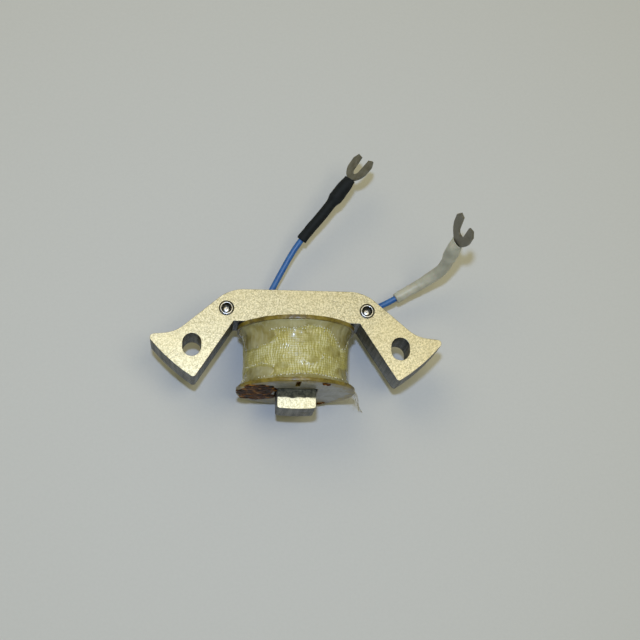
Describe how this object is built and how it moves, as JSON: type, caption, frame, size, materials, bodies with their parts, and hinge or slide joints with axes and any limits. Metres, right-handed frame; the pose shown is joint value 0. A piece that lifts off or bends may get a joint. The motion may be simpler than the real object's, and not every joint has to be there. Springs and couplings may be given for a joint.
{
  "type": "ignition coil",
  "caption": "Magneto ignition coil: riveted E-shaped laminated core with two slotted wings, a taped round coil on the centre leg, and two short leads with fork terminals.",
  "frame": {"origin": "midway between the two mounting slots, on the core's underside, which is the mounting face", "axes": "+Z through the lamination stack away from the mounting face, +X to the right wing, +Y from the pole faces towards the bridge"},
  "size_m": [0.1145, 0.1012, 0.0481],
  "materials": {
    "core_steel": "satin, champagne plating with fine speckle on the faces, grey sheared edges",
    "rivet_steel": "satin",
    "flange_board": "resin-soaked board, yellow-brown",
    "wedge_fibre": "matt",
    "enamelled_wire": "glossy copper enamel",
    "insulating_paper": "matt paper",
    "glass_tape": "varnished glass cloth with axial ribs",
    "solder": "satin",
    "sleeving": "varnished braid",
    "lead_insulation": "satin",
    "copper_strands": "satin",
    "heat_shrink": "satin black",
    "marker_tube": "satin off-white, no print",
    "terminal_tin": "dull tin plating"
  },
  "bodies": {
    "root": {"lamination_01": "core_steel", "lamination_02": "core_steel", "lamination_03": "core_steel", "lamination_04": "core_steel", "lamination_05": "core_steel", "lamination_06": "core_steel", "lamination_07": "core_steel", "lamination_08": "core_steel", "lamination_09": "core_steel", "lamination_10": "core_steel", "lamination_11": "core_steel", "lamination_12": "core_steel", "lamination_13": "core_steel", "lamination_14": "core_steel", "lamination_15": "core_steel", "lamination_16": "core_steel", "lamination_17": "core_steel", "lamination_18": "core_steel", "lamination_19": "core_steel", "lamination_20": "core_steel", "lamination_21": "core_steel", "lamination_22": "core_steel", "lamination_23": "core_steel", "lamination_24": "core_steel", "rivet_left": "rivet_steel", "rivet_right": "rivet_steel", "bobbin_tube": "flange_board", "front_flange": "flange_board", "rear_flange": "flange_board", "coil_wedge": "wedge_fibre", "inner_winding": "enamelled_wire", "outer_winding": "enamelled_wire", "interlayer_insulation": "insulating_paper", "winding_cover": "insulating_paper", "tape_wrap": "glass_tape", "splice_left": "solder", "splice_right": "solder", "splice_sleeve_left": "sleeving", "splice_sleeve_right": "sleeving", "lead_left": "lead_insulation", "lead_right": "lead_insulation", "conductor_end_left": "copper_strands", "conductor_end_right": "copper_strands", "heat_shrink_sleeve": "heat_shrink", "marker_sleeve": "marker_tube", "fork_terminal_left": "terminal_tin", "fork_terminal_right": "terminal_tin"}
  },
  "joints": []
}
